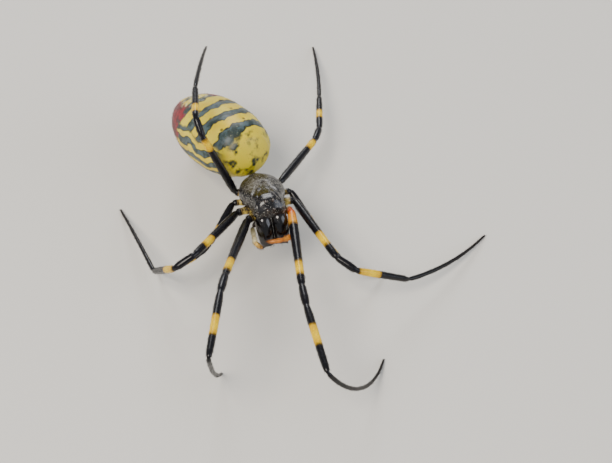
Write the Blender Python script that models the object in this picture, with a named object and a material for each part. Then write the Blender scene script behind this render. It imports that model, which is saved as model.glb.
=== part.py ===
"""Orb weaver spider: an adult female golden orb weaver, life size, standing on seven of its feet,
with the right hind leg held up over its back.

Metres, +Z up, the floor at Z 0. The head faces -Y, and the spider's left side is at +X.
The origin is at the middle of the bounding box's base.
"""
import math

import bmesh
import bpy
from mathutils import Matrix, Vector

MM = 0.001

# The body: lengths in millimetres, angles in degrees.
BODY_HEIGHT = 8.0  # floor to the middle of the cephalothorax
BODY_PITCH = 12.0  # head up
STANCE_SHIFT = (-4.9, -0.38)  # moves the body so that the origin is under the box's middle
CARAPACE_LENGTH = 7.8
ABDOMEN_LENGTH = 16.4
ABDOMEN_WIDTH = 9.0
ABDOMEN_HEIGHT = 8.6
ABDOMEN_YAW = 19.0  # the tail end swings to the spider's right
ABDOMEN_DROOP = 17.0  # the tail end hangs below the pedicel's level
JOINT_GAP = 0.13  # how far each piece stays back from a joint, so that two leave a clear gap

# Each pair's joints: how far forward, how far to the side, and how high the femur starts.
HIP = {1: (2.75, 2.65, -0.75), 2: (1.0, 3.5, -0.8), 3: (-0.9, 3.5, -0.8), 4: (-2.7, 2.75, -0.75)}
# Each pair's lengths: femur, patella, tibia, and metatarsus with tarsus.
LENGTHS = {1: (12.2, 3.0, 9.6, 15.6), 2: (10.4, 2.8, 7.9, 13.4), 3: (6.0, 1.8, 3.6, 6.4), 4: (9.8, 2.4, 6.4, 11.4)}
# Each leg's pose: yaw from straight ahead, outwards, and pitch above the horizon, of the femur,
# the tibia, the metatarsus's start and the tarsus's end.
POSE = {
    (1, "right"): ((27, 21), (22, 5), (22, -112), (22, -137)),
    (1, "left"): ((-10, 7), (-2, 2), (68, -60), (151, -10)),
    (2, "right"): ((43, 19), (161, -50), (174, -11), (174, -20)),
    (2, "left"): ((12, 5), (92, -34), (105, -17), (128, -9)),
    (3, "right"): ((42, -9), (76, -10), (174, -52), (154, -48)),
    (3, "left"): ((22, -25), (17, 2), (73, -44), (101, -32)),
    (4, "right"): ((120, 68), (193, -15), (199, -17), (202, -27)),
    (4, "left"): ((138, -13), (164, -10), (164, -12), (172, -17)),
}
RAISED = ((4, "right"),)  # held up over the abdomen, clear of the floor
FEMUR_RADIUS = {1: 0.54, 2: 0.50, 3: 0.42, 4: 0.48}
TIBIA_RADIUS = {1: 0.47, 2: 0.44, 3: 0.36, 4: 0.42}
METATARSUS_RADIUS = 0.29
FOOT_RADIUS = 0.25
FOOT_PRESS = 0.72  # the foot's centre line is this share of its reach over the floor, so that a flat is cut
PATELLA_SHARE = 0.45  # how much of the knee's bend comes before the patella

TUBE_SIDES = 2  # the curves' bevel resolution
SIDE_SIGN = {"left": 1, "right": -1}

# The body's own frame: forward, to the left, and up.
PITCH = math.radians(BODY_PITCH)
FORWARD = Vector((0, -math.cos(PITCH), math.sin(PITCH)))
LEFT = Vector((1, 0, 0))
UP = Vector((0, math.sin(PITCH), math.cos(PITCH)))
BODY_CENTRE = Vector((STANCE_SHIFT[0], STANCE_SHIFT[1], BODY_HEIGHT))


def body_point(forward, left, up):
    return BODY_CENTRE + FORWARD * forward + LEFT * left + UP * up


def heading(yaw, pitch):
    """The unit vector at this yaw from straight ahead towards the left, and this pitch."""
    y, p = math.radians(yaw), math.radians(pitch)
    return Vector((math.sin(y) * math.cos(p), -math.cos(y) * math.cos(p), math.sin(p)))


def new_collection(name):
    made = bpy.data.collections.new(name)
    bpy.context.scene.collection.children.link(made)
    return made


def material(name, colour, roughness, metallic=0.0):
    made = bpy.data.materials.new(name)
    made.use_nodes = True
    shader = made.node_tree.nodes["Principled BSDF"]
    shader.inputs["Base Color"].default_value = (*colour, 1.0)
    shader.inputs["Roughness"].default_value = roughness
    shader.inputs["Metallic"].default_value = metallic
    made.diffuse_color = (*colour, 1.0)
    return made


def add(name, data, slot):
    """A new object of the spider, in its collection and with its material."""
    made = bpy.data.objects.new(name, data)
    data.materials.append(SLOTS[slot])
    SPIDER.objects.link(made)
    return made


def smooth(mesh):
    mesh.shade_smooth()
    mesh.set_sharp_from_angle(angle=math.radians(50))


def tube(name, path, radii, slot):
    """A closed round tube along the path, in millimetres, as thick at each point as its radius."""
    curve = bpy.data.curves.new(name, "CURVE")
    curve.dimensions = "3D"
    curve.bevel_depth = MM
    curve.bevel_resolution = TUBE_SIDES
    curve.use_fill_caps = True
    spline = curve.splines.new("POLY")
    spline.points.add(len(path) - 1)
    for point, place, radius in zip(spline.points, path, radii):
        point.co = (*(Vector(place) * MM), 1.0)
        point.radius = radius
    drawn = bpy.data.objects.new(name + "_curve", curve)
    SPIDER.objects.link(drawn)
    bpy.context.view_layer.update()
    mesh = bpy.data.meshes.new_from_object(drawn.evaluated_get(bpy.context.evaluated_depsgraph_get()))
    bpy.data.objects.remove(drawn)
    mesh.materials.clear()
    closed = bmesh.new()
    closed.from_mesh(mesh)
    bmesh.ops.remove_doubles(closed, verts=closed.verts, dist=1e-7)
    bmesh.ops.recalc_face_normals(closed, faces=closed.faces)
    closed.to_mesh(mesh)
    closed.free()
    smooth(mesh)
    return add(name, mesh, slot)


def round_ends(start, end, radius_at, steps=3):
    """The path and radii of a straight piece with domed ends from start to end."""
    start, end = Vector(start), Vector(end)
    length = (end - start).length
    first, last = (min(radius_at(end_share), 0.42 * length) for end_share in (0.0, 1.0))
    stations = [(0.04 * first, 0.45), (0.4 * first, 0.86), (first, 1.0)]
    body = [(first + (length - first - last) * i / (steps + 1), 1.0) for i in range(1, steps + 1)]
    tail = [(length - last, 1.0), (length - 0.4 * last, 0.86), (length - 0.04 * last, 0.45)]
    path, radii = [], []
    for along, share in stations + body + tail:
        path.append(start + (end - start) * (along / length))
        radii.append(radius_at(along / length) * share)
    return path, radii


def between(keys, t):
    """Catmull-Rom interpolation of (position, value) keys at t."""
    spots = [k[0] for k in keys]
    i = max(0, min(len(keys) - 2, sum(s <= t for s in spots) - 1))
    p0, p1, p2, p3 = (keys[max(0, min(len(keys) - 1, j))] for j in (i - 1, i, i + 1, i + 2))
    width = p2[0] - p1[0]
    s = (t - p1[0]) / width
    m1 = (p2[1] - p0[1]) / max(p2[0] - p0[0], 1e-9) * width
    m2 = (p3[1] - p1[1]) / max(p3[0] - p1[0], 1e-9) * width
    s2, s3 = s * s, s * s * s
    return (2 * s3 - 3 * s2 + 1) * p1[1] + (s3 - 2 * s2 + s) * m1 + (3 * s2 - 2 * s3) * p2[1] + (s3 - s2) * m2


def loft(name, stations, section, place, slot, sides=24):
    """A closed skin through the sections at these stations. section(t, angle) gives (left, up),
    place(t, left, up) a point in millimetres; angle 0 is at the left and 90 degrees at the top."""
    mesh = bmesh.new()
    rings = []
    for t in stations:
        corners = [section(t, 2 * math.pi * i / sides) for i in range(sides)]
        rings.append([mesh.verts.new(place(t, *corner) * MM) for corner in corners])
    for ring, after in zip(rings, rings[1:]):
        for i in range(sides):
            j = (i + 1) % sides
            mesh.faces.new((ring[i], ring[j], after[j], after[i]))
    mesh.faces.new(rings[0])
    mesh.faces.new(rings[-1])
    bmesh.ops.recalc_face_normals(mesh, faces=mesh.faces)
    data = bpy.data.meshes.new(name)
    mesh.to_mesh(data)
    mesh.free()
    smooth(data)
    return add(name, data, slot)


def ball(name, centre, radius, slot, collection=None):
    """A small sphere, in millimetres, pole up."""
    mesh = bmesh.new()
    bmesh.ops.create_uvsphere(mesh, u_segments=8, v_segments=6, radius=radius * MM)
    data = bpy.data.meshes.new(name)
    mesh.to_mesh(data)
    mesh.free()
    smooth(data)
    made = bpy.data.objects.new(name, data)
    data.materials.append(SLOTS[slot])
    (collection or SPIDER).objects.link(made)
    made.location = Vector(centre) * MM
    return made


def difference(target, cutter):
    cut = target.modifiers.new("cut", "BOOLEAN")
    cut.operation = "DIFFERENCE"
    cut.solver = "EXACT"
    cut.object = cutter
    cutter.hide_render = True
    cutter.display_type = "WIRE"


# ---------------------------------------------------------------------------------------------
# Carapace, the upper shell of head and thorax: positions run from the rear (0) to the face (1).
CARAPACE_HALF_WIDTH = (
    (0, 0.75), (0.1, 1.75), (0.3, 2.62), (0.5, 2.75), (0.66, 2.3), (0.8, 1.98), (0.95, 1.88), (1, 1.5)
)
CARAPACE_TOP = ((0, 0.5), (0.12, 1.0), (0.3, 1.38), (0.5, 1.5), (0.64, 1.78), (0.8, 2.15), (0.93, 1.9), (1, 1.25))
CARAPACE_FLOOR = 0.0  # the flat underside, just over the legs' bases


def carapace_section(t, angle):
    half, top = between(CARAPACE_HALF_WIDTH, t), between(CARAPACE_TOP, t)
    left = half * math.copysign(abs(math.cos(angle)) ** 0.8, math.cos(angle))
    rise = math.sin(angle)
    return left, CARAPACE_FLOOR + (top * rise ** 0.9 if rise > 0 else 0.28 * rise)


def carapace_place(t, left, up):
    return body_point(CARAPACE_LENGTH * (t - 0.5), left, up)


# Eyes: the middle four in a square on the face, the side pairs on the head's corners.
EYES = {
    "eye_front_middle": (3.86, 0.36, 0.98, 0.2),
    "eye_rear_middle": (3.34, 0.40, 1.82, 0.2),
    "eye_front_side": (3.62, 1.42, 0.8, 0.16),
    "eye_rear_side": (3.24, 1.60, 1.08, 0.16),
}
EYE_CLEARANCE = 0.1


def build_head():
    carapace = loft("carapace", [i / 13 for i in range(14)], carapace_section, carapace_place, "carapace_shell", 20)
    cutters = []
    for name, (forward, side, up, radius) in EYES.items():
        for hand, sign in SIDE_SIGN.items():
            centre = body_point(forward, side * sign, up)
            ball(f"{name}_{hand}", centre, radius, "eye_lens")
            cutters.append(ball("socket", centre, radius + EYE_CLEARANCE, "eye_lens", CUTTERS))
    for cutter in cutters:
        difference(carapace, cutter)


# ---------------------------------------------------------------------------------------------
# Sternum: the heart-shaped breastplate between the legs' bases, pointed at the rear.
STERNUM_HALF_WIDTH = ((0, 0.12), (0.25, 0.6), (0.6, 1.05), (0.85, 1.12), (1, 0.7))
STERNUM_REAR, STERNUM_FRONT = -2.3, 1.2
STERNUM_TOP, STERNUM_DEPTH = -0.5, 1.15


def build_underside():
    def section(t, angle):
        half = between(STERNUM_HALF_WIDTH, t)
        left = half * math.copysign(abs(math.cos(angle)) ** 0.6, math.cos(angle))
        rise = math.sin(angle)
        return left, STERNUM_TOP - STERNUM_DEPTH / 2 + STERNUM_DEPTH / 2 * math.copysign(abs(rise) ** 0.5, rise)

    def place(t, left, up):
        return body_point(STERNUM_REAR + (STERNUM_FRONT - STERNUM_REAR) * t, left, up)

    loft("sternum", [i / 8 for i in range(9)], section, place, "carapace_shell", 16)

    # The lip and the two palp bases beside it, one block behind the fangs.
    def lip_section(t, angle):
        half = 0.95 + 0.3 * math.sin(math.pi * t)
        rise = math.sin(angle)
        return half * math.cos(angle), -1.12 + (0.56 - 0.14 * t) * rise

    def lip_place(t, left, up):
        return body_point(1.45 + 1.15 * t, left, up - 0.25 * t)

    loft("mouthparts", [i / 4 for i in range(5)], lip_section, lip_place, "jaw_shell", 16)


# ---------------------------------------------------------------------------------------------
# Jaws: two stout black pieces hanging from the face, each with a fang folded across its end.
JAW_TOP, JAW_END = (3.3, 0.98, -0.62), (4.75, 0.98, -3.65)
JAW_RADIUS = 0.86
FANG_RADIUS = 0.26


def build_jaws():
    for hand, sign in SIDE_SIGN.items():
        top = body_point(JAW_TOP[0], JAW_TOP[1] * sign, JAW_TOP[2])
        end = body_point(JAW_END[0], JAW_END[1] * sign, JAW_END[2])
        path, radii = round_ends(top, end, lambda t: JAW_RADIUS * (0.86 + 0.2 * math.sin(math.pi * (0.15 + 0.7 * t))))
        tube(f"jaw_{hand}", path, radii, "jaw_shell")
        # The fang: an arc from the jaw's outer end inwards and back.
        arc = []
        for i in range(7):
            turn = math.radians(-20 + 110 * i / 6)
            arc.append(body_point(4.42 - 0.85 * i / 6, (0.42 + 0.95 * math.cos(turn)) * sign, -4.22 - 0.3 * math.sin(turn * 1.6)))
        tube(f"fang_{hand}", arc, [FANG_RADIUS * (1 - 0.03 * i) for i in range(7)], "jaw_shell")


# ---------------------------------------------------------------------------------------------
# Palps: the short feelers beside the mouth, arched over the jaws' front with their ends together.
PALP_RADIUS = 0.3
# Each palp's hip, knee, wrist and end, in the body's frame.
PALP_LINES = {
    "right": ((2.75, -2.2, -2.1), (5.2, -2.5, -2.05), (6.9, -2.9, -1.0), (6.1, -1.85, -2.6)),
    "left": ((2.75, 2.2, -2.1), (4.9, 2.5, -2.25), (7.0, 1.3, -1.7), (5.9, -1.3, -1.95)),
}


def build_palps():
    for hand, line in PALP_LINES.items():
        hip, knee, ankle, end = (body_point(*corner) for corner in line)
        gap = (knee - hip).normalized() * (PALP_RADIUS + JOINT_GAP)
        path, radii = round_ends(hip, knee - gap, lambda t: PALP_RADIUS * (1.08 - 0.12 * t), 3)
        tube(f"palp_{hand}_femur", path, radii, "palp_shell")
        bends = [knee + (ankle - knee).normalized() * (PALP_RADIUS + JOINT_GAP), ankle, end]
        points = []
        for i in range(13):  # one smooth bend at the palp's wrist
            s = i / 12
            points.append(bends[0] * (1 - s) ** 2 + bends[1] * 2 * s * (1 - s) + bends[2] * s * s)
        shares = [0.5, 0.88] + [1.0] * 8 + [0.95, 0.82, 0.45]
        tube(f"palp_{hand}_end", points, [PALP_RADIUS * share for share in shares], "palp_shell")


# ---------------------------------------------------------------------------------------------
# Abdomen: a long egg, blunt in front where it overhangs the carapace, with the pedicel low down.
ABDOMEN_HALF_WIDTH = (
    (0, 0.12), (0.02, 0.42), (0.08, 0.72), (0.22, 0.93), (0.45, 1.0), (0.7, 0.9), (0.88, 0.62), (0.97, 0.32), (1, 0.1)
)
ABDOMEN_TOP = ((0, 0.12), (0.02, 0.46), (0.08, 0.78), (0.22, 1.0), (0.45, 1.0), (0.7, 0.84), (0.88, 0.54), (0.97, 0.28), (1, 0.1))
ABDOMEN_UNDER = (
    (0, 0.12), (0.02, 0.36), (0.1, 0.6), (0.25, 0.8), (0.45, 0.95), (0.7, 0.97), (0.86, 0.76), (0.96, 0.4), (1, 0.1)
)
ABDOMEN_START = (-3.7, -0.05, 2.5)  # the front end's middle, in the body's frame
PEDICEL_START, PEDICEL_END = (-4.2, 0.0, -0.2), (-4.9, -0.06, -0.68)
PEDICEL_RADIUS = 0.4
SPINNERETS_AT, SPINNERETS_LENGTH = 0.86, 1.6


def abdomen_frame():
    """Its start and its axes: towards the tail, to the left, and up."""
    swing = Matrix.Rotation(math.radians(ABDOMEN_YAW), 3, "Z")
    droop = math.radians(ABDOMEN_DROOP)
    back = swing @ Vector((0, math.cos(droop), -math.sin(droop)))
    up = swing @ Vector((0, math.sin(droop), math.cos(droop)))
    return body_point(*ABDOMEN_START), back, swing @ LEFT, up


def build_abdomen():
    start, back, left_axis, up_axis = abdomen_frame()

    def section(t, angle):
        half = between(ABDOMEN_HALF_WIDTH, t) * ABDOMEN_WIDTH / 2
        high = between(ABDOMEN_TOP, t) * ABDOMEN_HEIGHT / 2
        low = between(ABDOMEN_UNDER, t) * ABDOMEN_HEIGHT / 2
        return half * math.cos(angle), (high if math.sin(angle) > 0 else low) * math.sin(angle)

    def place(t, left, up):
        return start + back * (ABDOMEN_LENGTH * t) + left_axis * left + up_axis * up

    stations = [0.5 - 0.5 * math.cos(math.pi * i / 19) for i in range(20)]
    loft("abdomen", stations, section, place, "abdomen_skin", 26)
    stalk = [body_point(*PEDICEL_START).lerp(body_point(*PEDICEL_END), i / 4) for i in range(5)]
    tube("pedicel", stalk, [PEDICEL_RADIUS * share for share in (0.8, 1, 0.92, 1, 0.8)], "carapace_shell")

    # The spinnerets: a short cone under the tail end.
    root = start + back * (SPINNERETS_AT * ABDOMEN_LENGTH) - up_axis * (0.75 * ABDOMEN_HEIGHT / 2 + 0.16)
    lean = (back * 0.75 - up_axis).normalized()
    path, radii = round_ends(root, root + lean * SPINNERETS_LENGTH, lambda t: 0.98 - 0.4 * t, 2)
    tube("spinnerets", path, radii, "spinneret_skin")


# ---------------------------------------------------------------------------------------------
# Legs: coxa with trochanter, femur, patella with tibia, metatarsus with tarsus.
def turned(start, end, share):
    """The unit vector this share of the way from start to end along their arc."""
    return start.slerp(end, share)


def joint_setback(before, after, radius):
    """How far two domed ends stay back from a joint's centre, so that they clear each other."""
    bend = before.angle(after)
    return (radius + JOINT_GAP) / max(math.cos(bend / 2), 0.4) - radius


def foot_arc(start, first, last, length, steps=10):
    """Points along an even arc that leaves start at heading first and arrives at heading last."""
    points = [start]
    for i in range(steps):
        step = turned(heading(*first), heading(*last), (i + 0.5) / steps)
        points.append(points[-1] + step * (length / steps))
    return points


def foot_on_floor(start, first, last, length):
    """The same arc, pitched so that the foot's underside is cut to a small flat by the floor."""
    def miss(tilt):
        arc = foot_arc(start, (first[0], first[1] + tilt), (last[0], last[1] + tilt), length)
        slope = (arc[-1] - arc[-2]).normalized().z
        return arc[-1].z - FOOT_PRESS * FOOT_RADIUS * math.sqrt(1 - slope * slope)

    low, high = -20.0, 20.0
    for _ in range(40):
        middle = (low + high) / 2
        if (miss(low) > 0) == (miss(middle) > 0):
            low = middle
        else:
            high = middle
    return foot_arc(start, (first[0], first[1] + low), (last[0], last[1] + low), length)


def leg_points(pair, hand):
    """Hip, knee, patella's end, the ankle, and the arc of the metatarsus and tarsus."""
    sign = SIDE_SIGN[hand]
    femur, tibia, first, last = ((yaw * sign, pitch) for yaw, pitch in POSE[pair, hand])
    femur_length, patella_length, tibia_length, foot_length = LENGTHS[pair]
    forward, side, up = HIP[pair]
    hip = body_point(forward, side * sign, up)
    knee = hip + heading(*femur) * femur_length
    patella_end = knee + turned(heading(*femur), heading(*tibia), PATELLA_SHARE) * patella_length
    ankle = patella_end + heading(*tibia) * tibia_length
    if (pair, hand) in RAISED:
        return hip, knee, patella_end, ankle, foot_arc(ankle, first, last, foot_length)
    return hip, knee, patella_end, ankle, foot_on_floor(ankle, first, last, foot_length)


def build_leg(pair, hand, floor_cutter):
    sign = SIDE_SIGN[hand]
    name = f"leg{pair}_{hand}"
    hip, knee, patella_end, ankle, arc = leg_points(pair, hand)
    thick, thin = FEMUR_RADIUS[pair], TIBIA_RADIUS[pair]
    femur_way = (knee - hip).normalized()
    patella_way = (patella_end - knee).normalized()
    tibia_way = (ankle - patella_end).normalized()
    foot_way = (arc[1] - arc[0]).normalized()

    # Coxa with trochanter, from beside the sternum to the hip.
    forward, side, up = HIP[pair]
    root = body_point(forward * 0.74, 1.62 * sign, -1.05)
    coxa_way = (hip - root).normalized()
    back_off = joint_setback(coxa_way, femur_way, thick)
    coxa_radius = thick * 1.12
    path, radii = round_ends(root, hip - coxa_way * back_off, lambda t: coxa_radius * (1.0 - 0.1 * t), 2)
    tube(f"{name}_coxa", path, radii, "leg_shell")

    # Femur: thickest in its first third, with a slight swelling at the knee.
    knee_back = joint_setback(femur_way, patella_way, thin)
    path, radii = round_ends(
        hip + femur_way * back_off, knee - femur_way * knee_back,
        lambda t: thick * (1.0 - 0.14 * t + 0.06 * math.exp(-((t - 0.9) / 0.07) ** 2)),
    )
    tube(f"{name}_femur", path, radii, "leg_shell")

    # Patella and tibia: a short knee piece, a pinch, then a long straight piece.
    ankle_back = joint_setback(tibia_way, foot_way, METATARSUS_RADIUS * 1.1)
    start, end = knee + patella_way * knee_back, ankle - tibia_way * ankle_back
    dome = [start + patella_way * (thin * s) for s in (0.04, 0.4, 1.0)]
    knee_bend = [patella_end - patella_way * (thin * s) for s in (1.6, 0.55)]
    after_bend = [patella_end + tibia_way * (thin * s) for s in (0.55, 1.6)]
    shaft = [patella_end + (end - patella_end) * s for s in (0.35, 0.6, 0.82)]
    tail = [end - tibia_way * (thin * s) for s in (0.8, 0.35, 0.04)]
    shares = [0.5, 0.88, 1.0, 1.05, 0.92, 0.92, 1.0, 1.02, 0.98, 0.94, 0.86, 0.72, 0.42]
    tube(f"{name}_tibia", dome + knee_bend + after_bend + shaft + tail, [thin * s for s in shares], "leg_shell")

    # Metatarsus with tarsus: slender, arched, ending in a foot with a small flat on the floor.
    back_off = joint_setback(tibia_way, foot_way, METATARSUS_RADIUS * 1.1)
    arc[0] = arc[0] + foot_way * back_off
    count = len(arc) - 1
    radii = [METATARSUS_RADIUS + (FOOT_RADIUS - METATARSUS_RADIUS) * i / count for i in range(count + 1)]
    radii[0] *= 0.6
    first_dome = arc[0] + foot_way * (METATARSUS_RADIUS * 0.7)
    foot = tube(f"{name}_metatarsus", [arc[0], first_dome] + arc[1:], [radii[0]] + [METATARSUS_RADIUS * 1.1] + radii[1:], "leg_shell")
    difference(foot, floor_cutter)


def build_legs():
    slab = bmesh.new()
    bmesh.ops.create_cube(slab, size=1.0)
    data = bpy.data.meshes.new("floor_cutter")
    slab.to_mesh(data)
    slab.free()
    data.transform(Matrix.Diagonal((100 * MM, 100 * MM, 10 * MM, 1)))
    cutter = bpy.data.objects.new("floor_cutter", data)
    cutter.location = (0, 0, -5 * MM)
    CUTTERS.objects.link(cutter)
    for pair, hand in POSE:
        build_leg(pair, hand, cutter)


# ---------------------------------------------------------------------------------------------
for leftover in list(bpy.data.objects):
    bpy.data.objects.remove(leftover)
SPIDER = new_collection("orb_weaver_spider")
CUTTERS = new_collection("cutters")
CUTTERS.hide_render = True
SLOTS = {
    "leg_shell": material("leg_shell", (0.012, 0.010, 0.016), 0.35),
    "carapace_shell": material("carapace_shell", (0.10, 0.09, 0.08), 0.55),
    "jaw_shell": material("jaw_shell", (0.006, 0.005, 0.006), 0.18),
    "palp_shell": material("palp_shell", (0.62, 0.34, 0.07), 0.45),
    "eye_lens": material("eye_lens", (0.004, 0.004, 0.005), 0.05),
    "abdomen_skin": material("abdomen_skin", (0.62, 0.56, 0.10), 0.45),
    "spinneret_skin": material("spinneret_skin", (0.16, 0.05, 0.03), 0.5),
}
build_head()
build_underside()
build_jaws()
build_palps()
build_abdomen()
build_legs()
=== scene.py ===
"""Orb weaver spider: an adult female golden orb weaver, life size, standing on seven of its feet
with the right hind leg held up over its back.

Metres, +Z up, the floor at Z 0. The head faces -Y, and the spider's left side is at +X.
"""
import math

import bmesh
import bpy
import numpy as np
from mathutils import Matrix, Vector


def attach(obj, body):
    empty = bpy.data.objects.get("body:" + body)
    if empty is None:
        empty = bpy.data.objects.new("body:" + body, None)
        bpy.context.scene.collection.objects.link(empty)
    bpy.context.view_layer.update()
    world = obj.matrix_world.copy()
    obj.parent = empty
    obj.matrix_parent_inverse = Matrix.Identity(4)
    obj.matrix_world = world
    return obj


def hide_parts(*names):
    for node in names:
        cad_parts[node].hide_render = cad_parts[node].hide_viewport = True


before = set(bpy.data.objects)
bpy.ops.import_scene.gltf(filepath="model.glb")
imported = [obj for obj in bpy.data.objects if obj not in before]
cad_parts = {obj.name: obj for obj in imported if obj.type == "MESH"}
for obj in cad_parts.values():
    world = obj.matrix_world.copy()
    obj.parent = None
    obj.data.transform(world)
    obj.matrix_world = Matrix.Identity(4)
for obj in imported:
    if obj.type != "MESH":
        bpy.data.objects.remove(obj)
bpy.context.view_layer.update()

# ---------------------------------------------------------------------------------------------
# Carapace: the hard shield over head and thorax, a single sheet of dark cuticle. Furrows mark
# where the sucking stomach's and the legs' muscles hold on inside. It is polished over the face,
# and felted with short silver hair behind.
MM = 0.001
BODY_CENTRE = Vector((-4.9, -0.38, 8.0))  # all sizes are in millimetres until a mesh is made
BODY_PITCH = math.radians(12)
FORWARD = Vector((0, -math.cos(BODY_PITCH), math.sin(BODY_PITCH)))
LEFT = Vector((1, 0, 0))
UP = Vector((0, math.sin(BODY_PITCH), math.cos(BODY_PITCH)))
SIDE_SIGN = {"left": 1, "right": -1}
CARAPACE_LENGTH = 7.8
# Half its width, and its height, from the stalk at 0 to the face at 1.
CARAPACE_HALF_WIDTH = (
    (0, 0.72), (0.1, 1.7), (0.3, 2.56), (0.5, 2.69), (0.66, 2.26), (0.8, 1.94), (0.95, 1.84), (1, 1.45),
)
CARAPACE_TOP = (
    (0, 0.45), (0.12, 0.95), (0.3, 1.34), (0.5, 1.46), (0.64, 1.74), (0.8, 2.1), (0.93, 1.86), (1, 1.2),
)
CARAPACE_EDGE = 0.26  # how far its rim turns under
PIT = -0.95  # forward place of the pit in the thorax, where the furrows to the legs start
LEG_FURROWS = (18, -14, -50)  # their ways from the pit, in degrees ahead of straight out
HORN = (0.35, 0.55)  # the two blunt horns: forward, and to each side
HORN_HEIGHT, PIT_DEPTH, NECK_DEPTH, FURROW_DEPTH = 0.22, 0.26, 0.15, 0.09
# The eyes' places and radii, which the shell swells round: forward, to the side, up.
EYES = {
    "eye_front_middle": (3.86, 0.36, 0.98, 0.2),
    "eye_rear_middle": (3.34, 0.40, 1.82, 0.2),
    "eye_front_side": (3.62, 1.42, 0.8, 0.16),
    "eye_rear_side": (3.24, 1.60, 1.08, 0.16),
}
EYE_SWELLING = 0.07


def body_point(forward, left, up):
    return BODY_CENTRE + FORWARD * forward + LEFT * left + UP * up


def in_body(points):
    """Points of (forward, left, up) moved into the room."""
    axes = np.array([FORWARD, LEFT, UP])
    return points @ axes + np.array(BODY_CENTRE)


def profile(keys, places):
    """A smooth curve through these (place, value) keys, read at the places."""
    x, y = np.array(keys, float).T
    places = np.asarray(places, float)
    slope = np.gradient(y, x)
    i = np.clip(np.searchsorted(x, places, side="right") - 1, 0, len(x) - 2)
    width = x[i + 1] - x[i]
    s = np.clip((places - x[i]) / width, 0, 1)
    rise = (2 * s**3 - 3 * s**2 + 1) * y[i] + (3 * s**2 - 2 * s**3) * y[i + 1]
    return rise + width * ((s**3 - 2 * s**2 + s) * slope[i] + (s**3 - s**2) * slope[i + 1])


def dent(distance, width):
    """1 at distance 0, falling smoothly to nothing over about this width."""
    return np.exp(-((distance / width) ** 2))


def skin(name, rings, along=None):
    """A closed smooth mesh through rings of points, with a UV map: U along them, V round them."""
    count, sides = rings.shape[:2]
    along = np.linspace(0, 1, count) if along is None else np.asarray(along)
    points = np.concatenate([rings.reshape(-1, 3), rings[:1].mean(1), rings[-1:].mean(1)]) * MM
    i, j = (grid.ravel() for grid in np.meshgrid(np.arange(count - 1), np.arange(sides), indexing="ij"))
    k = (j + 1) % sides
    faces = np.stack([i * sides + j, i * sides + k, (i + 1) * sides + k, (i + 1) * sides + j], 1).tolist()
    here, after, step = along[i], along[i + 1], 1 / sides
    uvs = [np.stack([here, j * step, here, (j + 1) * step, after, (j + 1) * step, after, j * step], 1)]
    # Each end is closed by a fan of triangles round its own middle point.
    j = np.arange(sides)
    for tip, ring, turn in ((0, 0, (1, 0)), (1, count - 1, (0, 1))):
        middle, u = np.full(sides, count * sides + tip), np.full(sides, along[ring])
        faces += np.stack([middle, *(ring * sides + (j + t) % sides for t in turn)], 1).tolist()
        uvs.append(np.stack([u, (j + 0.5) * step, u, (j + turn[0]) * step, u, (j + turn[1]) * step], 1))
    mesh = bpy.data.meshes.new(name)
    mesh.from_pydata(points.tolist(), [], faces)
    unwrap = mesh.uv_layers.new(name="UVMap")
    unwrap.data.foreach_set("uv", np.concatenate([corners.ravel() for corners in uvs]))
    turned = bmesh.new()
    turned.from_mesh(mesh)
    bmesh.ops.recalc_face_normals(turned, faces=turned.faces)
    turned.to_mesh(mesh)
    turned.free()
    mesh.shade_smooth()
    return mesh


def points_of(mesh):
    found = np.empty(len(mesh.vertices) * 3)
    mesh.vertices.foreach_get("co", found)
    return found.reshape(-1, 3) / MM


def normals_of(mesh):
    found = np.empty(len(mesh.vertices) * 3)
    mesh.vertices.foreach_get("normal", found)
    return found.reshape(-1, 3)


def comb(mesh, hairiness, lie):
    """Marks a skin for its hairs: how thickly they stand at each point, and the way they lie."""
    mesh.attributes.new("hairiness", "FLOAT", "POINT").data.foreach_set("value", hairiness)
    ways = np.broadcast_to(lie, (len(hairiness), 3)).ravel()
    mesh.attributes.new("lie", "FLOAT_VECTOR", "POINT").data.foreach_set("vector", ways)


def piece(name, mesh, material, slot, *nodes):
    """Puts a finished mesh in the scene, as the piece that stands for these nodes."""
    made = bpy.data.objects.new(name, mesh)
    bpy.context.scene.collection.objects.link(made)
    mesh.materials.clear()
    mesh.materials.append(material)
    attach(made, "root")
    if nodes:
        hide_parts(*nodes)


def hex_colour(code):
    """A linear colour from an sRGB hex value."""
    parts = [int(code[i:i + 2], 16) / 255 for i in (1, 3, 5)]
    return (*(c / 12.92 if c <= 0.04045 else ((c + 0.055) / 1.055) ** 2.4 for c in parts), 1.0)


def feed(made, inputs):
    """Sets a node's inputs, to values or to the nodes or sockets that feed them."""
    for name, value in inputs.items():
        if isinstance(value, bpy.types.Node):
            value = value.outputs[0]
        if isinstance(value, bpy.types.NodeSocket):
            made.id_data.links.new(value, made.inputs[name])
        else:
            made.inputs[name].default_value = value


def node(tree, kind, inputs=None, tones=(), **settings):
    """Adds a node: its settings by name, its inputs as feed takes them, and a ramp's tones as
    (place, hex colour)."""
    made = tree.nodes.new(kind)
    for name, value in settings.items():
        setattr(made, name, value)
    feed(made, inputs or {})
    if tones:
        stops = made.color_ramp.elements
        while len(stops) < len(tones):
            stops.new(1.0)
        for stop, (place, code) in zip(stops, tones):
            stop.position, stop.color = place, hex_colour(code)
    return made


def new_material(name, **finish):
    """A material whose Principled shader has these socket values, with its tree and shader."""
    made = bpy.data.materials.new(name)
    made.use_nodes = True
    shader = made.node_tree.nodes["Principled BSDF"]
    feed(shader, {socket.replace("_", " "): value for socket, value in finish.items()})
    return made, made.node_tree, shader


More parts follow.
